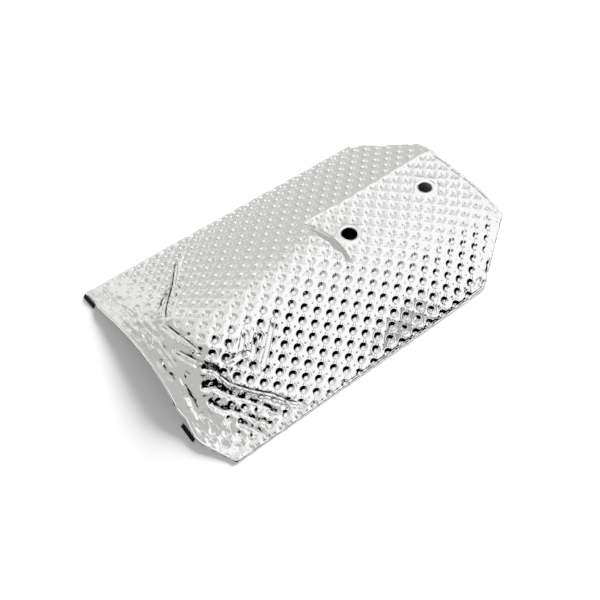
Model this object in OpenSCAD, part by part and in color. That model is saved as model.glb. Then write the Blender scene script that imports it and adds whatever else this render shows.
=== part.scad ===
// Pressed heat shield: one embossed aluminium sheet with a folded rim, bent over
// an arch, with a sunk flat pad for two bolts and its near end turned down.
// Origin at the middle of its box on the floor, +X along the sheet towards the
// pad end, +Z up. Millimetres.

/* [Sheet] */
// Length of the sheet along the arch
sheet_len = 217; // [180:1:260]
// Width between the two long edges, as it lies
sheet_w = 130.6; // [115:0.2:150]
// Thickness of the sheet
sheet_t = 0.6; // [0.4:0.1:1.2]
// How far the middle of the near edge stands back from its corners
near_bow = 4.5; // [0:0.5:8]

/* [Arch] */
// Rise of the left panel per millimetre across, at the near end
left_rise_near = 0.405; // [0.3:0.005:0.45]
// Rise of the left panel per millimetre across, at the pad end
left_rise_far = 0.378; // [0.3:0.002:0.45]
// Height of the right panel at its shoulder
shoulder_h = 18.2; // [15:0.1:21]
// Width of the right panel from its edge to its shoulder
shoulder_w = 43.5; // [36:0.5:50]
// How far the right panel is hollow at the near end
hollow_near = 3.6; // [0:0.1:4.5]
// How far the right panel bulges at the pad end
bulge_far = 3.4; // [0:0.1:4]
// Height of the crown's flat
crown_h = 24.6; // [22:0.1:28]
// Depth of blending between the two panels
crown_blend = 9; // [3:0.5:14]

/* [Pad] */
// Height of the pad at its left crease
pad_left_h = 16.3; // [14:0.1:17.5]
// Height of the pad at its right crease
pad_right_h = 19.0; // [17:0.1:20]
// Half the width of the pad
pad_half_w = 22; // [18:0.5:25]
// Where the foot of the step begins at the creases, from the middle of the length
step_x = 10.6; // [0:0.2:20]
// How far the foot of the step bows towards the pad
step_bow = 6.6; // [0:0.2:9]
// Rise of the step per millimetre along
step_rise = 0.62; // [0.4:0.02:1]

/* [Near end] */
// Length of the turned down end
turn_len = 28; // [15:1:40]
// Share of its height that the near end loses
turn_drop = 0.48; // [0.1:0.02:0.6]
// Half the length of the bend in front of the turned down end
turn_soft = 6; // [2:0.5:10]

/* [Corners] */
// Cut back of the far left corner along the length
far_left_x = 27; // [15:1:40]
// Cut back of the far left corner across
far_left_y = 33; // [15:1:40]
// Cut back of the far right corner along the length
far_right_x = 37; // [20:1:50]
// Cut back of the far right corner across
far_right_y = 25.5; // [15:0.5:35]
// Cut back of the near right corner along the length
near_right_x = 11; // [5:0.5:20]
// Cut back of the near right corner across
near_right_y = 22; // [12:1:30]

/* [Embossing] */
// Distance between neighbouring dimples
dimple_pitch = 7; // [6.8:0.1:9]
// Diameter of a dimple
dimple_d = 4.6; // [3:0.1:5]
// Depth of a dimple
dimple_depth = 0.95; // [0.4:0.05:1.2]
// Width over which dimples are crushed flat along the rim
crush_w = 9; // [5:0.5:14]

/* [Rim] */
// Width of the folded rim
rim_w = 2.8; // [2:0.1:4]
// How much the folded rim stands above and below the sheet
rim_t = 0.35; // [0.25:0.05:0.6]

/* [Holes] */
// Diameter of the near bolt hole
near_hole_d = 9; // [6:0.1:11]
// Diameter of the far bolt hole
far_hole_d = 8; // [6:0.1:11]
// Distance of the near hole from the middle of the length
near_hole_x = 26; // [22:0.5:34]
// Distance between the two holes
hole_gap = 57.5; // [45:0.5:62]

/* [Hidden] */

edge_far = sheet_len / 2;
edge_near = -sheet_len / 2;
edge_left = sheet_w / 2;
edge_right = -sheet_w / 2;
far_hole_x = near_hole_x + hole_gap;
floor_gap = rim_t;

// The dimples stand on a square lattice turned 45 degrees: rows one `row` apart
// along and across, with a dimple at every second crossing
row = dimple_pitch / sqrt(2);
lattice_x = 55.4;
lattice_y = -4.35;
crown_row_left = -3.5;
crown_row_right = 3;
lean_left = 0.932;
lean_crown = 0.985;
lean_right = 0.905;
dimple_sides = 6;
hole_land = 1;

// Mixing, clamping and rounded minimum
function clamp01(v) = min(1, max(0, v));
function soft(v) = let (c = clamp01(v)) c * c * (3 - 2 * c);
function mix(a, b, f) = a + (b - a) * f;
function soft_min(a, b, blend) =
    let (near = max(blend - abs(a - b), 0) / blend) min(a, b) - near * near * blend / 4;

// The arch: left panel, right panel and crown
function far_share(x) = soft((x + 69) / 110);
function left_panel(x, y) = mix(left_rise_near, left_rise_far, far_share(x)) * (edge_left - y);
function right_panel(x, y) =
    let (t = (y - edge_right) / shoulder_w,
         bulge = mix(-hollow_near, bulge_far, far_share(x)),
         steep = (shoulder_h - 4 * bulge) / shoulder_w)
    t < 1 ? shoulder_h * t + 4 * bulge * t * (1 - t)
          : shoulder_h + steep * (y - edge_right - shoulder_w);
function arch(x, y) =
    soft_min(soft_min(left_panel(x, y), right_panel(x, y), crown_blend), crown_h, 7);

// The pad is sunk into the crown, with a bowed sloping step at its near end
function pad(y) = mix(pad_left_h, pad_right_h, (pad_half_w - y) / (2 * pad_half_w));
function step_foot(y) = step_x + step_bow * (1 - pow(y / pad_half_w, 2));
function step(x, y) = max(0, step_foot(y) - x) * step_rise;
function formed(x, y) = soft_min(arch(x, y), pad(y) + step(x, y), 1);

// The near end is turned down about a soft bend
function turn(x) =
    let (u = edge_near + turn_len - x)
    u < -turn_soft ? 0 : u > turn_soft ? u : pow(u + turn_soft, 2) / (4 * turn_soft);
function height(x, y) = formed(x, y) * (1 - turn_drop * turn(x) / turn_len);

// Lattice rows to places in plan; the outermost rows lie on the sheet's edges
function inset(edge) = edge - sign(edge) * rim_w / 2;
row_left = crown_row_left
    - (inset(edge_left) - across_crown(crown_row_left)) / (row * lean_left);
row_right = crown_row_right
    + (across_crown(crown_row_right) - inset(edge_right)) / (row * lean_right);
row_near = (inset(edge_near) - lattice_x) / row;
row_far = (inset(edge_far) - lattice_x) / row;
m_first = floor(row_left + 0.35);
m_last = ceil(row_right - 0.35);
n_first = floor(row_near + 0.35);
n_last = ceil(row_far - 0.35);

function across_crown(m) = lattice_y - m * row * lean_crown;
function across(m) =
    m <= m_first ? inset(edge_left) :
    m >= m_last ? inset(edge_right) :
    m < crown_row_left ? across_crown(crown_row_left) + (crown_row_left - m) * row * lean_left :
    m > crown_row_right ? across_crown(crown_row_right) - (m - crown_row_right) * row * lean_right :
    across_crown(m);
function bowed(x, y) =
    x + near_bow * max(0, 1 - pow((y - 12) / 53, 2))
        * clamp01((edge_near + turn_len - x) / turn_len);
function along(n, y) =
    bowed(n <= n_first ? inset(edge_near) : n >= n_last ? inset(edge_far) : lattice_x + n * row, y);
function crossing(m, n) = let (y = across(m)) [along(n, y), y];

// The outline's corners, three of them cut
far_left_a = [edge_far - far_left_x, edge_left];
far_left_b = [edge_far, edge_left - far_left_y];
far_right_a = [edge_far, edge_right + far_right_y];
far_right_b = [edge_far - far_right_x, edge_right];
near_right_a = [edge_near + near_right_x, edge_right];
near_right_b = [edge_near, edge_right + near_right_y];
near_left = [edge_near, edge_left];

// Distance inside a straight edge that runs clockwise from a to b
function inside(p, a, b) =
    let (d = (b - a) / norm(b - a)) d[1] * (p[0] - a[0]) - d[0] * (p[1] - a[1]);
function to_rim(p) = min(
    inside(p, near_left, far_left_a), inside(p, far_left_a, far_left_b),
    inside(p, far_left_b, far_right_a), inside(p, far_right_a, far_right_b),
    inside(p, far_right_b, near_right_a), inside(p, near_right_a, near_right_b),
    p[0] - bowed(edge_near, p[1]));
function to_holes(p) = min(norm(p - [near_hole_x, 0]) - near_hole_d / 2,
                           norm(p - [far_hole_x, 0]) - far_hole_d / 2);

// How deep the dimple at a crossing is: crushed along the rim, none at the holes
function depth_at(p) = dimple_depth * clamp01((to_rim(p) - rim_w) / crush_w);
function is_centre(m, n) = (m + n) % 2 == 0;
function is_dimple(m, n) =
    m > m_first && m < m_last && n > n_first && n < n_last
    && to_rim(crossing(m, n)) > rim_w + dimple_d / 2
    && to_holes(crossing(m, n)) > dimple_d / 2 + hole_land;

count_m = m_last - m_first + 1;
count_n = n_last - n_first + 1;
function at(m, n) = (m - m_first) * count_n + n - n_first;

centres = [for (m = [m_first:m_last], n = [n_first:n_last]) if (is_centre(m, n)) [m, n]];
dimples = [for (c = centres) if (is_dimple(c[0], c[1])) c];
plain = [for (c = centres) if (!is_dimple(c[0], c[1])) c];

// Top points: every crossing, then the rim of every dimple. Bottom points: crossings
function top_point(p, sink) = [p[0], p[1], floor_gap + height(p[0], p[1]) + sheet_t - sink];
function low_point(p, sink) = [p[0], p[1], floor_gap + height(p[0], p[1]) - sink];
function sink(m, n) = is_centre(m, n) && is_dimple(m, n) ? depth_at(crossing(m, n)) : 0;
top_points = [for (m = [m_first:m_last], n = [n_first:n_last])
    top_point(crossing(m, n), sink(m, n))];
ring_points = [for (c = dimples, k = [0:dimple_sides - 1])
    let (a = 30 + 60 * k, p = crossing(c[0], c[1]))
    top_point(p + dimple_d / 2 * [cos(a), sin(a)], 0)];
low_points = [for (m = [m_first:m_last], n = [n_first:n_last])
    low_point(crossing(m, n), sink(m, n))];
ring_start = len(top_points);
low_start = ring_start + len(ring_points);

// The four neighbours of a crossing, anticlockwise from +X
function beside(m, n, k) = [[m, n + 1], [m - 1, n], [m, n - 1], [m + 1, n]][k % 4];
function exists(q) = q[0] >= m_first && q[0] <= m_last && q[1] >= n_first && q[1] <= n_last;
function fans(cells, start, flip) = [for (c = cells, k = [0:3])
    let (a = beside(c[0], c[1], k), b = beside(c[0], c[1], k + 1))
    if (exists(a) && exists(b))
        flip ? [start + at(c[0], c[1]), start + at(a[0], a[1]), start + at(b[0], b[1])]
             : [start + at(c[0], c[1]), start + at(b[0], b[1]), start + at(a[0], a[1])]];

// A dimple's cone and the flat around it, between its rim r and its neighbours q
function dimple_faces(i) =
    let (m = dimples[i][0], n = dimples[i][1], mid = at(m, n),
         r = [for (k = [0:dimple_sides - 1]) ring_start + i * dimple_sides + k],
         q = [for (k = [0:3]) let (s = beside(m, n, k)) at(s[0], s[1])])
    concat(
        [for (k = [0:dimple_sides - 1]) [mid, r[(k + 1) % dimple_sides], r[k]]],
        [[q[0], r[5], r[0]], [q[0], r[0], q[1]], [r[0], r[1], q[1]], [r[1], r[2], q[1]],
         [r[2], q[2], q[1]], [r[2], r[3], q[2]], [r[3], q[3], q[2]], [r[3], r[4], q[3]],
         [r[4], r[5], q[3]], [r[5], q[0], q[3]]]);
function wall(m, n, m2, n2) =
    [[at(m, n), low_start + at(m2, n2), at(m2, n2)],
     [at(m, n), low_start + at(m, n), low_start + at(m2, n2)]];
wall_faces = [
    for (n = [n_first:n_last - 1]) each wall(m_first, n, m_first, n + 1),
    for (m = [m_first:m_last - 1]) each wall(m, n_last, m + 1, n_last),
    for (n = [n_first:n_last - 1]) each wall(m_last, n + 1, m_last, n),
    for (m = [m_first:m_last - 1]) each wall(m + 1, n_first, m, n_first)];

module embossed_sheet() {
    polyhedron(
        points = concat(top_points, ring_points, low_points),
        faces = concat(
            fans(plain, 0, false),
            [for (i = [0:len(dimples) - 1]) each dimple_faces(i)],
            fans(centres, low_start, true),
            wall_faces),
        convexity = 10);
}

// A prism outside the straight line through a and b, moved in by `back`
module corner_cut(a, b, back) {
    d = (b - a) / norm(b - a);
    out = [-d[1], d[0]];
    translate([0, 0, -10])
        linear_extrude(60)
            polygon([a - 30 * d - back * out, b + 30 * d - back * out,
                     b + 30 * d + 60 * out, a - 30 * d + 60 * out]);
}

// The folded rim follows the outline as a flat strip
function between(a, b, steps) = [for (i = [0:steps - 1]) a + (b - a) * i / steps];
outline = concat(
    between(near_left, far_left_a, 12),
    between(far_left_a, far_left_b, 6),
    between(far_left_b, far_right_a, 12),
    between(far_right_a, far_right_b, 6),
    between(far_right_b, near_right_a, 12),
    between(near_right_a, near_right_b, 4),
    [for (p = between(near_right_b, near_left, 22)) [bowed(p[0], p[1]), p[1]]]);
function wrap(i) = outline[(i + len(outline)) % len(outline)];
function rim_inner(i) =
    let (u = (wrap(i) - wrap(i - 1)) / norm(wrap(i) - wrap(i - 1)),
         v = (wrap(i + 1) - wrap(i)) / norm(wrap(i + 1) - wrap(i)),
         nu = [u[1], -u[0]], nv = [v[1], -v[0]])
    wrap(i) + rim_w * (nu + nv) / (1 + nu * nv);
function rim_section(i) =
    let (o = wrap(i), p = rim_inner(i),
         ho = floor_gap + height(o[0], o[1]), hp = floor_gap + height(p[0], p[1]))
    [[o[0], o[1], ho - rim_t], [o[0], o[1], ho + sheet_t + rim_t],
     [p[0], p[1], hp + sheet_t + rim_t], [p[0], p[1], hp - rim_t]];

module folded_rim() {
    last = len(outline) - 1;
    polyhedron(
        points = [for (i = [0:last]) each rim_section(i)],
        faces = [for (i = [0:last], k = [0:3])
            let (j = (i + 1) % (last + 1), a = 4 * i + k, b = 4 * i + (k + 1) % 4,
                 c = 4 * j + (k + 1) % 4, d = 4 * j + k)
            each [[a, c, b], [a, d, c]]],
        convexity = 10);
}

// A hole punched square to the pad, which leans across the sheet
module bolt_hole(x, d) {
    lean = atan((pad_right_h - pad_left_h) / (2 * pad_half_w));
    translate([x, 0, floor_gap + pad(0) + sheet_t / 2])
        rotate([-lean, 0, 0])
            cylinder(h = 10, d = d, center = true, $fn = 48);
}

module heat_shield() {
    color("silver")
        difference() {
            union() {
                difference() {
                    embossed_sheet();
                    corner_cut(far_left_a, far_left_b, rim_w / 2);
                    corner_cut(far_right_a, far_right_b, rim_w / 2);
                    corner_cut(near_right_a, near_right_b, rim_w / 2);
                }
                folded_rim();
            }
            bolt_hole(near_hole_x, near_hole_d);
            bolt_hole(far_hole_x, far_hole_d);
        }
}

heat_shield();
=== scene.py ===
import math

import bmesh
import bpy
from mathutils import Matrix, Vector, noise


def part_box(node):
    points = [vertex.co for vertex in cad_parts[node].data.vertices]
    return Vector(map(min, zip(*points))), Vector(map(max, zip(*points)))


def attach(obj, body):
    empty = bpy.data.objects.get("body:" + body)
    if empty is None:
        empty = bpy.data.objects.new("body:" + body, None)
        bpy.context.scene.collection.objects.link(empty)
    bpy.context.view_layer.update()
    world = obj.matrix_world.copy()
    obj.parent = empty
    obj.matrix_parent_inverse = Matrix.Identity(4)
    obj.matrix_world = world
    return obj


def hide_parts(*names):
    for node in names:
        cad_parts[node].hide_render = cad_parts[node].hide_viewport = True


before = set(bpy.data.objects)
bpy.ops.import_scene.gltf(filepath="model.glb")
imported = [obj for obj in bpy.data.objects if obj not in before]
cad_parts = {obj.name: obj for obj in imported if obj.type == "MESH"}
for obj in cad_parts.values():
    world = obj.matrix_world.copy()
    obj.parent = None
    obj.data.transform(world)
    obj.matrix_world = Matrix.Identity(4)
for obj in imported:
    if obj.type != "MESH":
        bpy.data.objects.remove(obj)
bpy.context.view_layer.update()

NODE = "heat_shield"

# The shield's sizes, in millimetres: the part source's, but for a lower crown and a gentler step
MM = 0.001
low_corner, high_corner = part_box(NODE)
SHEET_LEN = (high_corner.x - low_corner.x) / MM
SHEET_W = (high_corner.y - low_corner.y) / MM
EDGE_FAR, EDGE_NEAR = SHEET_LEN / 2, -SHEET_LEN / 2
EDGE_LEFT, EDGE_RIGHT = SHEET_W / 2, -SHEET_W / 2
NEAR_BOW = 4.5
SKIN_TOP = 0.95

LEFT_RISE_NEAR, LEFT_RISE_FAR = 0.405, 0.378
SHOULDER_H, SHOULDER_W = 18.2, 43.5
HOLLOW_NEAR, BULGE_FAR = 3.6, 3.4
CROWN_H, CROWN_BLEND = 24.2, 9.0
PAD_LEFT_H, PAD_RIGHT_H, PAD_HALF_W = 16.3, 19.0, 22.0
STEP_X, STEP_BOW, STEP_RISE = 10.6, 6.6, 0.54
TURN_LEN, TURN_DROP, TURN_SOFT = 28.0, 0.48, 6.0
PAD_CREASE, PAD_CREASE_SIDE = (70, 22.27, 0), (0.0024, 1, 0)
FAR_SHAPE_FROM, FAR_SHAPE_RUN = -69, 110
CROWN_FLATTENING = 7
STEP_BLEND, PAD_EDGE_BLEND = 2, 0.2

# Embossing: rows across and along, with a dimple at every second crossing
PITCH = 7.0
ROW = PITCH / math.sqrt(2)
LATTICE_X, LATTICE_Y = 55.4, -4.35
CROWN_ROW_LEFT, CROWN_ROW_RIGHT = -3.5, 3.0
LEAN_LEFT, LEAN_CROWN, LEAN_RIGHT = 0.932, 0.985, 0.905
FACES_PER_ROW = 6
BRINK_STEPS = FACES_PER_ROW // 2
DIMPLE_R, DIMPLE_WALL_R, DIMPLE_FLOOR_R, DIMPLE_DEPTH = 2.4, 1.7, 0.95, 1.05
DOT_R, DOT_H = 1.3, 0.25
RIM_W, RIM_CRUSH = 2.8, 0.9
HEM_STEP = 0.15
DEEPEST_PRESS = 1.2
RING_LIFT, RING_OUT, RING_W = 0.3, 1.5, 0.7
EDGE_DROP, EDGE_BEAD, CRUMPLE = 0.45, 0.5, 0.5
LEFT_WEAR = 0.5

# Low waves from bending and handling
WIDE_WAVE, FINE_WAVE, EDGE_STREAK = 0.25, 0.08, 1.15
SMALL_WAVE, SMALL_WAVE_TURNED = 0.05, 0.34

# Sheet and hem
SHEET_T = 0.4
FOLD_R = 0.475
HEM_RETURN = 2.6
CUT_SNAP = 0.04

# What the sheet's mesh carries for its finish: distances in millimetres, and shares from 0 to 1
MARKS = ("to_dimple", "to_dot", "pressed", "to_crease", "crease_sharp", "handled", "to_rim")
CREASE_REACH = 4.5

# Near hem's two turned-down ends, by their upper edge in plan
HEM_ENDS = (((-106.9, 63.4), (-106.3, 53.8)), ((-106.9, -33), (-106.9, -43.4)))
TAB_OUT, TAB_TOP, TAB_FOOT = 1.55, 2.3, 0.4
TAB_MIDDLES, TAB_LEN, TAB_NOTCH = (60.0, -38.2), 7.0, 1.7
TAB_RIPPLE, TAB_ROUNDING = 0.12, 0.08

HOLES = ((26.0, 0.0, 4.5), (83.5, 0.0, 4.0))
HOLE_RING = 5
HOLE_REACH = 11

FAR_LEFT_A = (EDGE_FAR - 27, EDGE_LEFT)
FAR_LEFT_B = (EDGE_FAR, EDGE_LEFT - 33)
FAR_RIGHT_A = (EDGE_FAR, EDGE_RIGHT + 25.5)
FAR_RIGHT_B = (EDGE_FAR - 37, EDGE_RIGHT)
NEAR_RIGHT_A = (EDGE_NEAR + 11, EDGE_RIGHT)
NEAR_RIGHT_B = (EDGE_NEAR, EDGE_RIGHT + 22)
NEAR_LEFT = (EDGE_NEAR, EDGE_LEFT)
CORNERS = (NEAR_LEFT, FAR_LEFT_A, FAR_LEFT_B, FAR_RIGHT_A, FAR_RIGHT_B, NEAR_RIGHT_A, NEAR_RIGHT_B)

# Width left plain inside each edge of the outline, in the order of its corners
PLAIN_RIMS = (0.2, RIM_W, 3.6, 4.4, 0.2, 1.2, 1.2)

# Creases pressed into the bend: points along each with its high side on the left, half width and depth
CREASES = (
    (((-91.6, -6.5), (-88.1, -13.8), (-84.2, -20), (-80.2, -23.5), (-79.9, -28), (-77.9, -32.6),
      (-74.3, -36.7), (-68.5, -42.2), (-62.5, -47.5), (-57.4, -54.9), (-54, -58.5)), 0.9, 0.35),
    (((-90.5, -27.6), (-85.7, -30), (-83.6, -33.7), (-80.8, -38.1), (-76.1, -42.5), (-72.6, -46.9),
      (-69.2, -51.4), (-66.1, -56.4)), 1.25, 1.4),
    (((-91.8, -35.1), (-89.5, -39.3), (-83.6, -44.4), (-81, -48.3), (-78.6, -51.6),
      (-74.4, -56.8)), 1.25, 1.4),
    (((-86, -21.6), (-82.5, -23.2), (-80.4, -27)), 1.1, 1.35),
    (((-86.5, 20.6), (-78.5, 26.7), (-72, 32.5)), 0.8, 0.4),
    (((-87.1, 12.5), (-81.3, 18.9), (-70.1, 31.5), (-58.9, 47.1), (-55.2, 51)), 0.9, 0.3),
    (((-88.1, 11), (-86.5, 1.9), (-84.6, -6.2), (-83.2, -12.8)), 1.2, 0.25),
    (((-83.8, -51), (-81.2, -56), (-78.8, -61)), 1.6, 1.5),
)

# Shallow channels where dimples have run together
CHANNELS = (
    (((-42.2, -20.5), (-47.7, -25.2), (-53.1, -29.9), (-59, -34.4)), 1.3, 0.35),
    (((-58.4, -17.8), (-64.5, -23.5)), 1.2, 0.35),
    (((-54.3, -22.4), (-57.9, -25.4), (-61.9, -29.2)), 1.2, 0.35),
    (((-62.4, -26.5), (-66.7, -25.7), (-70.4, -25.8)), 1.2, 0.35),
)


# Small helpers
def clamp01(value):
    return min(1.0, max(0.0, value))


def soft(value):
    c = clamp01(value)
    return c * c * (3 - 2 * c)


def mix(a, b, share):
    return a + (b - a) * share


def soft_min(a, b, blend):
    near = max(blend - abs(a - b), 0) / blend
    return min(a, b) - near * near * blend / 4


# The formed sheet's outer height at a place in plan
def arch(x, y):
    far_share = soft((x - FAR_SHAPE_FROM) / FAR_SHAPE_RUN)
    left = mix(LEFT_RISE_NEAR, LEFT_RISE_FAR, far_share) * (EDGE_LEFT - y)
    t = (y - EDGE_RIGHT) / SHOULDER_W
    bulge = mix(-HOLLOW_NEAR, BULGE_FAR, far_share)
    if t < 1:
        right = SHOULDER_H * t + 4 * bulge * t * (1 - t)
    else:
        right = SHOULDER_H + (SHOULDER_H - 4 * bulge) * (t - 1)
    return soft_min(soft_min(left, right, CROWN_BLEND), CROWN_H, CROWN_FLATTENING)


def pad_and_step(x, y):
    pad = mix(PAD_LEFT_H, PAD_RIGHT_H, (PAD_HALF_W - y) / (2 * PAD_HALF_W))
    foot = STEP_X + STEP_BOW * (1 - (y / PAD_HALF_W) ** 2)
    return pad + max(0, foot - x) * STEP_RISE


def turned_share(x):
    u = EDGE_NEAR + TURN_LEN - x
    if u < -TURN_SOFT:
        return 0.0
    bent = u if u > TURN_SOFT else (u + TURN_SOFT) ** 2 / (4 * TURN_SOFT)
    return bent / TURN_LEN


def crease_depth(x, y):
    """How deep the creases and channels go, with a low shoulder on each side of them."""
    total = 0.0
    for points, half_width, depth in CREASES + CHANNELS:
        nearest = abs(to_line(x, y, points))
        if nearest < 5 * half_width:
            groove = math.exp(-((nearest / half_width) ** 2))
            shoulder = math.exp(-((nearest / half_width - 1.9) ** 2))
            total += depth * (groove - 0.3 * shoulder)
    return total


def to_line(x, y, points):
    """Distance to a bent line, counted below zero on its right side."""
    nearest = math.inf
    for (ax, ay), (bx, by) in zip(points, points[1:]):
        dx, dy = bx - ax, by - ay
        t = clamp01(((x - ax) * dx + (y - ay) * dy) / (dx * dx + dy * dy))
        away = math.hypot(x - ax - t * dx, y - ay - t * dy)
        if away < abs(nearest):
            nearest = away if dx * (y - ay) >= dy * (x - ax) else -away
    return nearest


def crease_edge(x, y):
    """Signed distance to the nearest crease, and how sharp it is here, below zero for a channel."""
    best, sharp = 9.0, 0.0
    for crease in CREASES + CHANNELS:
        points, _, depth = crease
        side = to_line(x, y, points)
        if abs(side) < abs(best):
            from_end = min(math.dist((x, y), points[0]), math.dist((x, y), points[-1]))
            best = side
            sharp = soft(from_end / 4) * clamp01(4.6 - abs(side))
            sharp *= clamp01(2 - 1.5 * depth)
            sharp *= -1 if crease in CHANNELS else 1
    return max(-CREASE_REACH, min(CREASE_REACH, best)), sharp


def handling_waves(x, y):
    """Low waves, stronger on the turned end, with streaks beside the near edge."""
    turned = soft(turned_share(x) * 3)
    wide = noise.noise(Vector((x / 34, y / 30, 3.1))) * WIDE_WAVE
    small = noise.noise(Vector((x / 7, y / 10, 7.7)))
    small *= mix(SMALL_WAVE, SMALL_WAVE_TURNED, turned)
    fine = noise.noise(Vector((x / 2.6, y / 4.4, 2.7))) * FINE_WAVE * turned
    streaks = noise.noise(Vector((x / 2, y / 13, 9.1))) * EDGE_STREAK * soft((-92 - x) / 5)
    streaks *= soft((y + 42) / 12)
    return wide + small + fine + streaks


def formed_height(x, y):
    """The whole sheet's height, with waves and creases that fade towards the rim."""
    blend = mix(STEP_BLEND, PAD_EDGE_BLEND, soft((y - 10) / 8))
    height = soft_min(arch(x, y), pad_and_step(x, y), blend)
    height *= 1 - TURN_DROP * turned_share(x)
    edge = soft((to_rim(x, y) - 1) / 8)
    return height + edge * (handling_waves(x, y) - crease_depth(x, y))


# Outline: distance inside each straight edge, and the least of them
def inside(x, y, a, b):
    length = math.dist(a, b)
    dx, dy = (b[0] - a[0]) / length, (b[1] - a[1]) / length
    return dy * (x - a[0]) - dx * (y - a[1])


def edges_of_outline():
    return list(zip(CORNERS, CORNERS[1:] + CORNERS[:1]))


def to_rim(x, y):
    return min(inside(x, y, a, b) for a, b in edges_of_outline())


def bowed(x, y):
    hump = max(0.0, 1 - ((y - 12) / 53) ** 2)
    notch = max(soft(1.5 - abs(y - middle) / TAB_LEN) for middle in TAB_MIDDLES)
    near = clamp01((EDGE_NEAR + TURN_LEN - x) / TURN_LEN)
    return x + (NEAR_BOW * hump + TAB_NOTCH * notch * near * near) * near


# Embossing rows: place across the sheet for a row number, and back
def across(m):
    if m < CROWN_ROW_LEFT:
        return across(CROWN_ROW_LEFT) + (CROWN_ROW_LEFT - m) * ROW * LEAN_LEFT
    if m > CROWN_ROW_RIGHT:
        return across(CROWN_ROW_RIGHT) - (m - CROWN_ROW_RIGHT) * ROW * LEAN_RIGHT
    return LATTICE_Y - m * ROW * LEAN_CROWN


def row_number(y):
    left, right = across(CROWN_ROW_LEFT), across(CROWN_ROW_RIGHT)
    if y > left:
        return CROWN_ROW_LEFT - (y - left) / (ROW * LEAN_LEFT)
    if y < right:
        return CROWN_ROW_RIGHT + (right - y) / (ROW * LEAN_RIGHT)
    return (LATTICE_Y - y) / (ROW * LEAN_CROWN)


def square_angle(i, j):
    if abs(i) >= abs(j):
        return j / i * math.pi / 4 + (math.pi if i < 0 else 0)
    return math.pi / 2 * (1 if j > 0 else -1) - i / j * math.pi / 4


def lean(m):
    """How much a row is foreshortened in plan by the lean of its panel."""
    if m < CROWN_ROW_LEFT:
        return LEAN_LEFT
    return LEAN_RIGHT if m > CROWN_ROW_RIGHT else LEAN_CROWN


def cell_of(n, m):
    """A grid point's dimple or dot, and its steps from there; a shared side belongs to the dimple."""
    near_n, near_m = round(n), round(m)
    i, j = round((n - near_n) * FACES_PER_ROW), round((near_m - m) * FACES_PER_ROW)
    if (near_n + near_m) % 2:
        if abs(i) == BRINK_STEPS and abs(j) < BRINK_STEPS:
            near_n, i = near_n + (1 if i > 0 else -1), -i
        elif abs(j) == BRINK_STEPS and abs(i) < BRINK_STEPS:
            near_m, j = near_m - (1 if j > 0 else -1), -j
    return near_n, near_m, i, j


def round_rings(n, m):
    """A grid point's place in plan, with the grid's squares drawn round at each dimple and dot."""
    near_n, near_m, i, j = cell_of(n, m)
    ring = max(abs(i), abs(j))
    if ring == 0 or abs(i) == abs(j) == BRINK_STEPS:
        return LATTICE_X + n * ROW, across(m)
    if (near_n + near_m) % 2 == 0:
        radius = (DIMPLE_FLOOR_R, DIMPLE_WALL_R, DIMPLE_R)[ring - 1]
    else:
        radius = DOT_R if ring == 2 else DOT_R / 2
    angle = square_angle(i, j)
    x = LATTICE_X + near_n * ROW + radius * math.cos(angle)
    y = across(near_m) + radius * math.sin(angle) * lean(near_m)
    return x, y


def round_holes(n, m, x, y):
    """The same for the two bolt holes."""
    for hole_x, hole_y, hole_r in HOLES:
        start_n = round((hole_x - LATTICE_X) / ROW * FACES_PER_ROW) / FACES_PER_ROW
        start_m = round(row_number(hole_y) * FACES_PER_ROW) / FACES_PER_ROW
        i, j = round((n - start_n) * FACES_PER_ROW), round((start_m - m) * FACES_PER_ROW)
        ring = max(abs(i), abs(j))
        if ring >= HOLE_REACH:
            continue
        step = ROW / FACES_PER_ROW
        radius = hole_r * ring / HOLE_RING if ring <= HOLE_RING else hole_r + (ring - HOLE_RING) * step
        angle = square_angle(i, j) if ring else 0
        share = soft((ring - HOLE_RING) / (HOLE_REACH - HOLE_RING))
        x = mix(hole_x + radius * math.cos(angle), x, share)
        y = mix(hole_y + radius * math.sin(angle), y, share)
    return x, y


def near_hole(x, y, reach):
    return any(math.hypot(x - hx, y - hy) < hr + reach for hx, hy, hr in HOLES)


def to_crossing(x, y, odd):
    """Distance to the nearest dimple's middle, or with odd to the nearest dot's, and where it is."""
    n, m = round((x - LATTICE_X) / ROW), round(row_number(y))
    middles = []
    for a in (n - 1, n, n + 1):
        for b in (m - 1, m, m + 1):
            if (a + b) % 2 == odd:
                centre = LATTICE_X + a * ROW, across(b)
                middles.append((math.hypot(x - centre[0], (y - centre[1]) / lean(b)), centre))
    return min(middles)


def off_crease(x, y):
    """0 along the pad's straight left edge, 1 clear of it."""
    if y < 16 or x < STEP_X:
        return 1.0
    return soft((abs(arch(x, y) - pad_and_step(x, y)) / LEFT_RISE_FAR - 0.3) / 1.8)


def off_step(x, y):
    """0 on the step between crown and pad, 1 clear of it."""
    foot = STEP_X + STEP_BOW * (1 - (y / PAD_HALF_W) ** 2)
    run = (arch(x, y) - pad_and_step(foot, y)) / STEP_RISE
    if run < 0.5 or abs(y) > PAD_HALF_W:
        return 1.0
    outside = abs(x - foot + run / 2) - run / 2
    return soft((outside + 0.2) / 1.6)


def rim_fade(x, y):
    """0 in the plain rim, 1 inside it."""
    return min(soft((inside(x, y, a, b) - plain) / RIM_CRUSH)
               for (a, b), plain in zip(edges_of_outline(), PLAIN_RIMS))


def off_grooves(x, y):
    """Less embossing where a crease has run dimples together, 1 away from the creases."""
    crease = min(abs(to_line(x, y, points)) - half_width for points, half_width, depth in CREASES)
    channel = min(abs(to_line(x, y, points)) - half_width for points, half_width, depth in CHANNELS)
    return min(mix(0.7, 1, soft(crease)), soft(channel / 1.2))


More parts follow.
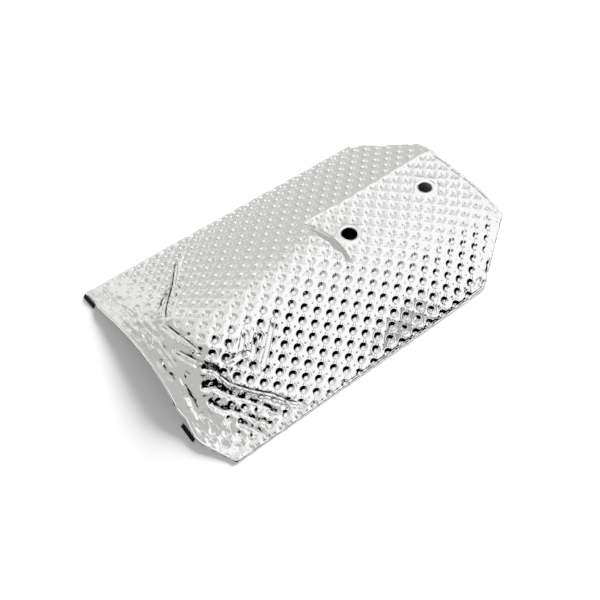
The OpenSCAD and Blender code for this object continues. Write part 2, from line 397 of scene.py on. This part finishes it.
def press_strength(x, y, centre):
    """How far the embossing is pressed in: none at the holes and the rim, less on the turned end."""
    if near_hole(*centre, DIMPLE_R + 0.8):
        return 0.0
    turned = soft(turned_share(x) * 2)
    chance = noise.noise(Vector((centre[0] * 0.7, centre[1] * 0.7, 1.3)))
    uneven = 1 + mix(0.16, 0.8, turned) * chance
    flattened = mix(1, mix(0.25, 0.55, soft((y + 32) / 24)), turned)
    flattened *= mix(1, 0.45, soft((-84 - x) / 4) * soft((y + 34) / 8))
    flattened *= mix(1, 0.72, soft((x - 25) / 35) * soft((-14 - y) / 16))
    flattened *= mix(1, 0.75, soft((y + 2) / 6) * soft((28 - y) / 8) * soft(-x / 20))
    strength = min(uneven, DEEPEST_PRESS) * rim_fade(x, y) * off_step(x, y)
    return strength * off_crease(x, y) * off_grooves(x, y) * flattened


def rolled_edge(x, y):
    """How far the skin bends down at the long right edge and in the far edges' crushed band."""
    right = inside(x, y, *edges_of_outline()[4])
    far = min(inside(x, y, *edge) for edge in edges_of_outline()[1:4])
    crumple = 1 + 2.2 * noise.noise(Vector((x / 2.4, y / 2.4, 5.5)))
    bead = EDGE_BEAD * math.exp(-(((right - 1.9) / 1.1) ** 2)) * soft((62 - x) / 12)
    dropped = EDGE_DROP * clamp01(1 - right / 1.4)
    return dropped - bead + CRUMPLE * crumple * clamp01(1 - far / (RIM_W + 1.4))


def hole_ring(x, y, hole_x, hole_y, hole_r):
    """The ring pressed up round a bolt hole."""
    from_edge = math.hypot(x - hole_x, y - hole_y) - hole_r
    return RING_LIFT * math.exp(-(((from_edge - RING_OUT) / RING_W) ** 2))


def embossing(x, y):
    """How far the skin stands off its formed height: dimples go down, dots stand up."""
    lift = -rolled_edge(x, y)
    lift += sum(hole_ring(x, y, *hole) for hole in HOLES)
    band = min(inside(x, y, a, b)
               for (a, b), plain in zip(edges_of_outline(), PLAIN_RIMS) if plain > 1)
    lift += HEM_STEP * soft(1 - (band - RIM_W) / 0.8)
    away, centre = to_crossing(x, y, 0)
    wall = clamp01((DIMPLE_R - away) / (DIMPLE_R - DIMPLE_FLOOR_R))
    lift -= press_strength(x, y, centre) * DIMPLE_DEPTH * wall
    away, centre = to_crossing(x, y, 1)
    return lift + press_strength(x, y, centre) * DOT_H * max(0, 1 - (away / DOT_R) ** 2) ** 2


# The sheet, with its hem, as one mesh
def flat_grid():
    first_n = math.floor((EDGE_NEAR - LATTICE_X) / ROW)
    last_n = math.ceil((EDGE_FAR - LATTICE_X) / ROW)
    first_m, last_m = math.floor(row_number(EDGE_LEFT)), math.ceil(row_number(EDGE_RIGHT))
    across_n, across_m = last_n - first_n, last_m - first_m
    bm = bmesh.new()
    bmesh.ops.create_grid(bm, x_segments=across_n * FACES_PER_ROW,
                          y_segments=across_m * FACES_PER_ROW, size=0.5)
    for vert in bm.verts:
        n = first_n + round((vert.co.x + 0.5) * across_n * FACES_PER_ROW) / FACES_PER_ROW
        m = last_m - round((vert.co.y + 0.5) * across_m * FACES_PER_ROW) / FACES_PER_ROW
        x, y = round_holes(n, m, *round_rings(n, m))
        vert.co = (x, y, 0)
    return bm


def trim_to_outline(bm):
    for a, b in edges_of_outline():
        outward = Vector((a[1] - b[1], b[0] - a[0], 0)).normalized()
        start = Vector((*a, 0)) - outward * FOLD_R
        everything = bm.verts[:] + bm.edges[:] + bm.faces[:]
        bmesh.ops.bisect_plane(bm, geom=everything, dist=CUT_SNAP, plane_co=start,
                               plane_no=outward, clear_outer=True)


def line_up_pad_crease(bm):
    """An edge of the mesh all along the pad's straight left edge."""
    everything = bm.verts[:] + bm.edges[:] + bm.faces[:]
    bmesh.ops.bisect_plane(bm, geom=everything, dist=CUT_SNAP, plane_co=PAD_CREASE,
                           plane_no=PAD_CREASE_SIDE)


def outward_at(x, y):
    total = Vector((0, 0, 0))
    for a, b in edges_of_outline():
        if inside(x, y, a, b) < FOLD_R + 0.06:
            total += Vector((a[1] - b[1], b[0] - a[0], 0)).normalized()
    return total.normalized()


def pushed_in(x, y, depth):
    for _ in range(2):
        for a, b in edges_of_outline():
            short = depth - inside(x, y, a, b)
            if short > 0:
                inward = Vector((b[1] - a[1], a[0] - b[0], 0)).normalized()
                x, y = x + inward.x * short, y + inward.y * short
    return x, y


def fold_hem(bm):
    loop = [edge for edge in bm.edges if edge.is_boundary]
    half = FOLD_R * math.sqrt(0.75)
    for out, down in ((half, FOLD_R / 2), (half, FOLD_R * 1.5), (0, FOLD_R * 2)):
        loop = extrude_loop(bm, loop, lambda co: folded(co, out, down))
    extrude_loop(bm, loop, tucked_under)
    bmesh.ops.remove_doubles(bm, verts=bm.verts[:], dist=0.01)


def tucked_under(co):
    """Where the hem's free edge lies, below the fold."""
    return Vector((*pushed_in(co.x, co.y, FOLD_R + HEM_RETURN), -FOLD_R * 2))


def folded(co, out, down):
    x, y = pushed_in(co.x, co.y, FOLD_R)
    side = outward_at(x, y)
    return Vector((x + side.x * out, y + side.y * out, -down))


def extrude_loop(bm, loop, place):
    """Carries a loop of edges on, and returns its new loop."""
    made = bmesh.ops.extrude_edge_only(bm, edges=loop)["geom"]
    verts = {item for item in made if isinstance(item, bmesh.types.BMVert)}
    for vert in verts:
        vert.co = place(vert.co)
    return [edge for vert in verts for edge in vert.link_edges
            if edge.is_boundary and edge.other_vert(vert) in verts and edge.verts[0] is vert]


def punch_holes(bm):
    inner = [face for face in bm.faces if near_hole(*face.calc_center_median().xy, -0.05)]
    bmesh.ops.delete(bm, geom=inner, context="FACES")


def worn_left(x, y):
    """The left edge's small waves, always inwards."""
    wave = 0.4 + noise.noise(Vector((x / 4.5, 0, 6.2)))
    wave += 0.6 * noise.noise(Vector((x / 1.9, 0, 3.8)))
    return y - LEFT_WEAR * clamp01(wave) * soft(1 - inside(x, y, *edges_of_outline()[0]) / 3)


def heat_shield():
    bm = flat_grid()
    trim_to_outline(bm)
    line_up_pad_crease(bm)
    fold_hem(bm)
    punch_holes(bm)
    layer = {name: bm.verts.layers.float.new(name) for name in MARKS}
    for vert in bm.verts:
        x, y, drop = vert.co
        on_top = drop == 0
        vert[layer["to_dimple"]], centre = to_crossing(x, y, 0)
        vert[layer["to_dot"]] = to_crossing(x, y, 1)[0]
        vert[layer["pressed"]] = press_strength(x, y, centre) * on_top
        side, sharp = crease_edge(x, y)
        vert[layer["to_crease"]], vert[layer["crease_sharp"]] = side, sharp * on_top
        far_band = min(inside(x, y, *edge) for edge in edges_of_outline()[2:4])
        vert[layer["handled"]] = max(soft(turned_share(x) * 2.5), soft((9 - far_band) / 5)) * on_top
        vert[layer["to_rim"]] = to_rim(x, y) if on_top else 0
        height = SKIN_TOP + formed_height(x, y) + embossing(x, y) + drop
        lowest = SHEET_T + 0.1 if on_top else 0.02 if drop < -FOLD_R else 0
        vert.co = Vector((bowed(x, y), worn_left(x, y), max(height, lowest))) * MM
    bmesh.ops.recalc_face_normals(bm, faces=bm.faces[:])
    if sum(face.normal.z * face.calc_area() for face in bm.faces) < 0:
        bmesh.ops.reverse_faces(bm, faces=bm.faces[:])
    for face in bm.faces:
        face.smooth = True
    piece = made_object("shield_sheet", bm)
    wall = piece.modifiers.new("wall", "SOLIDIFY")
    wall.thickness = SHEET_T * MM
    wall.offset = -1
    wall.material_offset = 1
    wall.material_offset_rim = 1
    return piece


def hem_end(name, start, end):
    """A short stretch of the near hem's lip, turned down and out towards the floor."""
    bm = bmesh.new()
    bmesh.ops.create_grid(bm, x_segments=10, y_segments=3, size=0.5)
    along = Vector((end[0] - start[0], end[1] - start[1], 0))
    out = Vector((along.y, -along.x, 0)).normalized()
    for vert in bm.verts:
        t, down = vert.co.x + 0.5, 0.5 - vert.co.y
        ripple = TAB_RIPPLE * noise.noise(Vector((t * 5, start[1], 4.4)))
        place = Vector((*start, 0)) + along * t + out * (TAB_OUT * down + ripple)
        vert.co = Vector((place.x, place.y, mix(TAB_TOP, TAB_FOOT, down) + ripple)) * MM
    if sum(face.normal.z for face in bm.faces) < 0:
        bmesh.ops.reverse_faces(bm, faces=bm.faces[:])
    for face in bm.faces:
        face.smooth = True
    tab = made_object(name, bm)
    wall = tab.modifiers.new("wall", "SOLIDIFY")
    wall.thickness = SHEET_T * MM
    wall.offset = -1
    soften = tab.modifiers.new("soften", "BEVEL")
    soften.width = TAB_ROUNDING * MM
    soften.segments = 2
    return tab


def made_object(name, bm):
    mesh = bpy.data.meshes.new(name)
    bm.to_mesh(mesh)
    bm.free()
    piece = bpy.data.objects.new(name, mesh)
    bpy.context.scene.collection.objects.link(piece)
    return piece


# Materials
class Nodes:
    """A node tree with short ways to add a node and to join two sockets."""

    def __init__(self, tree):
        self.tree = tree

    def add(self, kind, **values):
        node = self.tree.nodes.new(kind)
        for name, value in values.items():
            setattr(node, name, value)
        return node

    def join(self, source, target):
        self.tree.links.new(source, target)

    def math(self, operation, first, second=0.0):
        node = self.add("ShaderNodeMath", operation=operation)
        for value, socket in ((first, node.inputs[0]), (second, node.inputs[1])):
            if isinstance(value, (int, float)):
                socket.default_value = value
            else:
                self.join(value, socket)
        return node.outputs["Value"]

    def ramp(self, source, low, high, at_low, at_high):
        """A value that goes smoothly from at_low to at_high while the source goes from low to high."""
        node = self.add("ShaderNodeMapRange", interpolation_type="SMOOTHSTEP")
        limits = (("From Min", low), ("From Max", high), ("To Min", at_low), ("To Max", at_high))
        for name, value in limits:
            node.inputs[name].default_value = value
        self.join(source, node.inputs["Value"])
        return node.outputs["Result"]


def effect_group(name, inputs, outputs):
    """A shader node group with its sockets, and the nodes at its two ends."""
    group = bpy.data.node_groups.new(name, "ShaderNodeTree")
    for label, value in inputs:
        socket = group.interface.new_socket(label, in_out="INPUT", socket_type="NodeSocketFloat")
        socket.default_value = value
    for label in outputs:
        group.interface.new_socket(label, in_out="OUTPUT", socket_type="NodeSocketFloat")
    n = Nodes(group)
    return group, n, n.add("NodeGroupInput"), n.add("NodeGroupOutput")


def rolled_grain_group():
    """Fine rolling lines along the sheet and faint rubbed patches, as values from 0 to 1."""
    group, n, start, end = effect_group(
        "rolled_grain", (("Line Scale", 900), ("Patch Scale", 60)), ("Lines", "Patches"))
    place = n.add("ShaderNodeTexCoord")
    stretch = n.add("ShaderNodeMapping")
    stretch.inputs["Scale"].default_value = (0.06, 1, 1)
    lines = n.add("ShaderNodeTexNoise")
    lines.inputs["Detail"].default_value = 3
    patches = n.add("ShaderNodeTexNoise")
    patches.inputs["Detail"].default_value = 4
    patches.inputs["Roughness"].default_value = 0.6
    n.join(place.outputs["Object"], stretch.inputs["Vector"])
    n.join(stretch.outputs["Vector"], lines.inputs["Vector"])
    n.join(start.outputs["Line Scale"], lines.inputs["Scale"])
    n.join(place.outputs["Object"], patches.inputs["Vector"])
    n.join(start.outputs["Patch Scale"], patches.inputs["Scale"])
    n.join(lines.outputs["Fac"], end.inputs["Lines"])
    n.join(patches.outputs["Fac"], end.inputs["Patches"])
    return group


# Height in millimetres that sharpens a dimple's brink and floor edge, by distance from its middle
BRINK_RELIEF = (
    (0, 0), (0.45, -0.04), (0.7, -0.12), (0.96, -0.2), (1.2, -0.142), (1.45, -0.107),
    (1.7, -0.095), (1.95, -0.084), (2.15, -0.05), (2.4, 0.007), (2.6, -0.06), (2.85, -0.12),
    (3.05, -0.13), (3.5, -0.13))
RELIEF_REACH, RELIEF_SPAN = 3.5, 0.4

# Height of the ledges down the low side of a crease, by distance from it: from, to, and their height
CREASE_LEDGES = ((-1.5, -0.35, 0.2), (-2.1, -1.5, -0.35), (-4.5, -2.1, 0.65))
# Painted shade: near-black colour laid along the sharp creases
CREASE_SHADE_COLOUR = (0.03, 0.03, 0.03, 1)
LINE_BUMP = 0.00002


def pressed_relief_group():
    """Fine relief of the pressed sheet in millimetres, and painted shade along its sharp creases."""
    group, n, start, end = effect_group("pressed_relief", (("Depth", 1),), ("Height", "Crease_Shade"))
    mark = {name: n.add("ShaderNodeAttribute", attribute_name=name).outputs["Fac"]
            for name in MARKS}

    brink = n.add("ShaderNodeFloatCurve")
    curve = brink.mapping.curves[0]
    for away, height in BRINK_RELIEF[1:-1]:
        curve.points.new(away / RELIEF_REACH, height / RELIEF_SPAN + 0.5)
    curve.points[0].location = (0, 0.5)
    curve.points[-1].location = (1, BRINK_RELIEF[-1][1] / RELIEF_SPAN + 0.5)
    for point in curve.points:
        point.handle_type = "VECTOR"
    brink.mapping.update()
    n.join(n.math("DIVIDE", mark["to_dimple"], RELIEF_REACH), brink.inputs["Value"])
    brinks = n.math("MULTIPLY", n.math("SUBTRACT", brink.outputs["Value"], 0.5), RELIEF_SPAN)

    dots = n.ramp(mark["to_dot"], 0.15, 0.75, 0.12, 0)
    pressed = n.math("MULTIPLY", n.math("ADD", brinks, dots), mark["pressed"])

    ledges = n.ramp(mark["to_crease"], -0.35, 0.35, -0.5, 0)
    for low, high, height in CREASE_LEDGES:
        ledges = n.math("ADD", ledges, n.ramp(mark["to_crease"], low, high, height, 0))
    creased = n.math("MULTIPLY", ledges, n.math("MAXIMUM", mark["crease_sharp"], 0))
    channel = n.ramp(n.math("ABSOLUTE", mark["to_crease"]), 0.8, 1.5, -0.5, 0)
    channelled = n.math("MULTIPLY", channel, n.math("MINIMUM", mark["crease_sharp"], 0))

    place = n.add("ShaderNodeTexCoord")
    stretch = n.add("ShaderNodeMapping")
    stretch.inputs["Scale"].default_value = (1, 0.45, 1)
    smear = n.add("ShaderNodeTexNoise")
    smear.inputs["Scale"].default_value = 420
    smear.inputs["Detail"].default_value = 2.5
    smear.inputs["Distortion"].default_value = 0.6
    n.join(place.outputs["Object"], stretch.inputs["Vector"])
    n.join(stretch.outputs["Vector"], smear.inputs["Vector"])
    blots = n.ramp(smear.outputs["Fac"], 0.5, 0.74, 0, -0.11)
    handled = n.math("MULTIPLY", blots, mark["handled"])

    # Painted shade along the sharp creases, patchy along their length
    crease_shaded = n.ramp(n.math("ABSOLUTE", mark["to_crease"]), 0.25, 0.7, 1, 0)
    crease_shaded = n.math("MULTIPLY", crease_shaded, n.math("MAXIMUM", mark["crease_sharp"], 0))
    uneven = n.ramp(smear.outputs["Fac"], 0.4, 0.6, 0.45, 1)
    n.join(n.math("MULTIPLY", crease_shaded, uneven), end.inputs["Crease_Shade"])

    hem = n.ramp(mark["to_rim"], 0.6, 1.3, 0.2, 0)
    creases = n.math("SUBTRACT", creased, channelled)
    total = n.math("ADD", n.math("ADD", pressed, creases), n.math("ADD", handled, hem))
    n.join(n.math("MULTIPLY", total, start.outputs["Depth"]), end.inputs["Height"])
    return group


def bright_sheet(name, grain, relief, colour, smooth, rough, bump, depth):
    """Aluminium sheet: colour, the least and greatest roughness, fine lines and pressed relief."""
    material = bpy.data.materials.new(name)
    material.use_nodes = True
    n = Nodes(material.node_tree)
    shader = material.node_tree.nodes["Principled BSDF"]
    shader.inputs["Metallic"].default_value = 1
    skin = n.add("ShaderNodeGroup", node_tree=grain)
    finish = n.add("ShaderNodeMapRange")
    finish.inputs["From Min"].default_value = 0.3
    finish.inputs["From Max"].default_value = 0.7
    finish.inputs["To Min"].default_value = smooth
    finish.inputs["To Max"].default_value = rough
    n.join(skin.outputs["Patches"], finish.inputs["Value"])
    n.join(finish.outputs["Result"], shader.inputs["Roughness"])
    tone = n.add("ShaderNodeMix", data_type="RGBA")
    tone.inputs["A"].default_value = (*(c * 0.93 for c in colour), 1)
    tone.inputs["B"].default_value = (*colour, 1)
    n.join(skin.outputs["Lines"], tone.inputs["Factor"])
    pressed = n.add("ShaderNodeGroup", node_tree=relief)
    pressed.inputs["Depth"].default_value = depth
    # Painted shade: the base colour goes towards near black along the sharp creases
    crease_shade_mix = n.add("ShaderNodeMix", data_type="RGBA")
    crease_shade_mix.inputs["B"].default_value = CREASE_SHADE_COLOUR
    n.join(pressed.outputs["Crease_Shade"], crease_shade_mix.inputs["Factor"])
    n.join(tone.outputs["Result"], crease_shade_mix.inputs["A"])
    n.join(crease_shade_mix.outputs["Result"], shader.inputs["Base Color"])
    forms = n.add("ShaderNodeBump")
    forms.inputs["Strength"].default_value = 1
    forms.inputs["Distance"].default_value = MM
    n.join(pressed.outputs["Height"], forms.inputs["Height"])
    lines = n.add("ShaderNodeBump")
    lines.inputs["Strength"].default_value = bump
    lines.inputs["Distance"].default_value = LINE_BUMP
    n.join(skin.outputs["Lines"], lines.inputs["Height"])
    n.join(forms.outputs["Normal"], lines.inputs["Normal"])
    n.join(lines.outputs["Normal"], shader.inputs["Normal"])
    return material


# Studio, in metres
ARCH_MIDDLE = (0.055, 0.01, 0)
CARD_TINT = (0.985, 1.0, 0.955)
FAR_WALL, RIGHT_WALL, NEAR_WALL = 1.5, -0.75, -0.9
FLOOR_HALF, FLOOR_WHITE = 3, 0.85
AIR_LIGHT, AIR_SEEN = 0.36, 1.07
LAMP_PLACE, LAMP_SIZE, LAMP_POWER = (1.5, 0.9, 0.9), 1.2, 95
CROWN_CARDS = 10


def plain_panel(name, corners, strength):
    """A flat rectangle that glows evenly and that only reflections see."""
    bm = bmesh.new()
    bm.faces.new([bm.verts.new(corner) for corner in corners])
    panel = made_object(name, bm)
    material = bpy.data.materials.new(name)
    material.use_nodes = True
    n = Nodes(material.node_tree)
    n.tree.nodes.clear()
    glow, end = n.add("ShaderNodeEmission"), n.add("ShaderNodeOutputMaterial")
    glow.inputs["Color"].default_value = (*CARD_TINT, 1)
    glow.inputs["Strength"].default_value = strength
    n.join(glow.outputs["Emission"], end.inputs["Surface"])
    panel.data.materials.append(material)
    panel.visible_camera = panel.visible_diffuse = panel.visible_shadow = False
    return panel


def upright(name, start, end, height, strength, foot=0.0):
    (x0, y0), (x1, y1) = start, end
    corners = ((x0, y0, foot), (x1, y1, foot), (x1, y1, height), (x0, y0, height))
    return plain_panel(name, corners, strength)


def floor():
    """White, lighter far off, and with no glow of its own under the arch."""
    bm = bmesh.new()
    bmesh.ops.create_grid(bm, x_segments=1, y_segments=1, size=FLOOR_HALF)
    table = made_object("floor", bm)
    material = bpy.data.materials.new("white_floor")
    material.use_nodes = True
    n = Nodes(material.node_tree)
    shader = material.node_tree.nodes["Principled BSDF"]
    shader.inputs["Base Color"].default_value = (FLOOR_WHITE, FLOOR_WHITE, FLOOR_WHITE, 1)
    shader.inputs["Roughness"].default_value = 0.9
    shader.inputs["Specular IOR Level"].default_value = 0.1
    shader.inputs["Emission Color"].default_value = (1, 1, 1, 1)
    place = n.add("ShaderNodeTexCoord")
    away = n.add("ShaderNodeVectorMath", operation="DISTANCE")
    away.inputs[1].default_value = ARCH_MIDDLE
    n.join(place.outputs["Object"], away.inputs[0])
    under_arch = n.ramp(away.outputs["Value"], 0.035, 0.065, 0, 0.12)
    distance = n.ramp(away.outputs["Value"], 0.3, 0.85, 0, 0.65)
    glow = n.math("MULTIPLY", seen_directly(n, 0, 1), n.math("ADD", under_arch, distance))
    n.join(glow, shader.inputs["Emission Strength"])
    table.data.materials.append(material)


def level_card(name, low, high, height, strength):
    """A level card, over the sheet or just above the floor."""
    (x0, y0), (x1, y1) = low, high
    corners = ((x0, y0, height), (x1, y0, height), (x1, y1, height), (x0, y1, height))
    return plain_panel(name, corners, strength)


def studio():
    floor()
    upright("card_left", (0.25, FAR_WALL), (FAR_WALL, FAR_WALL), 1.1, 0.65)
    for number, foot in enumerate((1.1, 1.35, 1.7, 2.2)):
        top, strength = foot + 0.25 + 0.15 * number, 0.72 + 0.08 * number
        start, end = (-0.1, FAR_WALL), (1.25, FAR_WALL)
        upright(f"card_left_high_{number + 1}", start, end, top, strength, foot)
    upright("card_left_mid", (-0.4, FAR_WALL), (0.25, FAR_WALL), 1.1, 0.9)
    upright("card_left_turn", (-0.6, FAR_WALL), (-0.4, FAR_WALL), 1.1, 0.7)
    upright("card_left_near", (NEAR_WALL, FAR_WALL), (-0.6, FAR_WALL), 1.1, 0.5)
    upright("card_far", (FAR_WALL, -0.2), (FAR_WALL, FAR_WALL), 1.1, 0.48)
    upright("card_far_high", (FAR_WALL, -0.3), (FAR_WALL, 0.7), 1.7, 0.75, 1.1)
    upright("card_near", (NEAR_WALL, 0.1), (NEAR_WALL, FAR_WALL), 1.2, 0.5, 0.3)
    cards_over_crown()
    level_card("card_over_near", (-0.45, -0.31), (-0.215, 0.45), 0.32, 0.57)
    level_card("card_over_bend", (-0.215, -0.31), (-0.13, 0.45), 0.32, 0.72)
    level_card("card_over_corner", (-0.215, -0.34), (-0.045, 0.02), 0.319, 0.55)
    level_card("card_low_right", (0.02, -0.125), (0.07, -0.085), 0.06, 0.42)
    upright("flag_beyond", (FAR_WALL, RIGHT_WALL), (FAR_WALL, -0.2), 0.5, 0.05)
    upright("flag_right", (NEAR_WALL, RIGHT_WALL), (0.12, RIGHT_WALL), 0.95, 0.0)
    upright("flag_right_far", (0.12, RIGHT_WALL), (2.0, RIGHT_WALL), 0.52, 0.0)
    upright("flag_near", (NEAR_WALL, RIGHT_WALL), (NEAR_WALL, 0.1), 0.8, 0.0)
    upright("flag_near_low", (NEAR_WALL, 0.1), (NEAR_WALL, 0.6), 0.3, 0.0)
    level_card("flag_over", (NEAR_WALL, RIGHT_WALL), (-0.1, -0.42), 0.95, 0.0)
    level_card("card_beside", (-0.3, 0.075), (1.5, 1.49), 0.003, 0.75)
    level_card("card_beyond", (0.12, -0.74), (1.49, 0.075), 0.003, 0.6)
    shade_under_arch()
    air()
    softbox("softbox_far", LAMP_PLACE, (0, 0, 0), LAMP_SIZE, LAMP_POWER)


def cards_over_crown():
    """Level cards in small steps of grey, for the crown's soft change from grey to white."""
    for number in range(1, CROWN_CARDS + 1):
        edge = 0.062 - 0.0102 * number
        low, high = (-0.13, 0.07 - edge), (edge, 0.45)
        level_card(f"card_over_left_{number}", low, high, 0.33 - number * 0.001, 1.0 - 0.026 * number)


def shade_under_arch():
    """A black card that keeps light off the floor and that neither camera nor metal sees."""
    shade = level_card("flag_under", (0.0, -0.036), (0.108, 0.030), 0.002, 0.0)
    shade.visible_diffuse = shade.visible_shadow = True
    shade.visible_glossy = False


def air():
    """The world: white where it is seen, and a plain low light."""
    world = bpy.data.worlds.new("studio_air")
    bpy.context.scene.world = world
    world.use_nodes = True
    n = Nodes(world.node_tree)
    background = world.node_tree.nodes["Background"]
    background.inputs["Color"].default_value = (1, 1, 1, 1)
    n.join(seen_directly(n, AIR_LIGHT, AIR_SEEN), background.inputs["Strength"])


def seen_directly(n, otherwise, directly):
    """One value for what the camera, metal and glass see, and another for what lights the scene."""
    rays = n.add("ShaderNodeLightPath")
    first = n.add("ShaderNodeMath", operation="MAXIMUM")
    second = n.add("ShaderNodeMath", operation="MAXIMUM")
    level = n.add("ShaderNodeMapRange")
    level.inputs["To Min"].default_value = otherwise
    level.inputs["To Max"].default_value = directly
    n.join(rays.outputs["Is Camera Ray"], first.inputs[0])
    n.join(rays.outputs["Is Glossy Ray"], first.inputs[1])
    n.join(first.outputs["Value"], second.inputs[0])
    n.join(rays.outputs["Is Transmission Ray"], second.inputs[1])
    n.join(second.outputs["Value"], level.inputs["Value"])
    return level.outputs["Result"]


def softbox(name, place, aim, size, power):
    lamp = bpy.data.lights.new(name, "AREA")
    lamp.shape = "SQUARE"
    lamp.size = size
    lamp.energy = power
    holder = bpy.data.objects.new(name, lamp)
    holder.location = place
    holder.rotation_euler = (Vector(aim) - Vector(place)).to_track_quat("-Z", "Y").to_euler()
    holder.visible_glossy = False
    bpy.context.scene.collection.objects.link(holder)


# The photograph's view: turned about the vertical, tilted down, and rolled a little
VIEW_AZIMUTH, VIEW_ELEVATION, VIEW_ROLL = 49.57, 56.04, 2.88
VIEW_PLACE = (-0.17018, -0.19107, 0.35539)
LENS, SENSOR = 46.8, 36


def camera():
    azimuth, elevation = math.radians(VIEW_AZIMUTH), math.radians(VIEW_ELEVATION)
    roll = math.radians(VIEW_ROLL)
    forward = Vector((math.cos(azimuth) * math.cos(elevation),
                      math.sin(azimuth) * math.cos(elevation), -math.sin(elevation)))
    level_right = Vector((math.sin(azimuth), -math.cos(azimuth), 0))
    level_up = level_right.cross(forward)
    right = level_right * math.cos(roll) + level_up * math.sin(roll)
    up = level_up * math.cos(roll) - level_right * math.sin(roll)
    turn = Matrix((right, up, -forward)).transposed()
    data = bpy.data.cameras.new("camera")
    data.sensor_width = SENSOR
    data.lens = LENS
    data.clip_start = 0.01
    holder = bpy.data.objects.new("camera", data)
    holder.matrix_world = Matrix.Translation(VIEW_PLACE) @ turn.to_4x4()
    bpy.context.scene.collection.objects.link(holder)
    bpy.context.scene.camera = holder


grain = rolled_grain_group()
relief = pressed_relief_group()
# Painted shade: the hem-end tabs are coloured near black, standing in for the shade and dark
# reflections under the near edge
painted_shade_hem = bright_sheet("painted_shade_hem", grain, relief, (0.02, 0.02, 0.02), 0.3, 0.5, 0.35, 1)
outer_skin = bright_sheet("outer_skin", grain, relief, (0.92, 0.92, 0.925), 0.06, 0.13, 0.25, 1)
inner_skin = bright_sheet("inner_skin", grain, relief, (0.55, 0.55, 0.55), 0.26, 0.40, 0.35, -1)

sheet = heat_shield()
sheet.data.materials.append(outer_skin)
sheet.data.materials.append(inner_skin)
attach(sheet, "root")
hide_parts(NODE)

for number, (start, end) in enumerate(HEM_ENDS, 1):
    tab = hem_end(f"hem_end_{number}", start, end)
    tab.data.materials.append(painted_shade_hem)
    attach(tab, "root")

camera()
studio()
bpy.context.scene.view_settings.view_transform = "Standard"
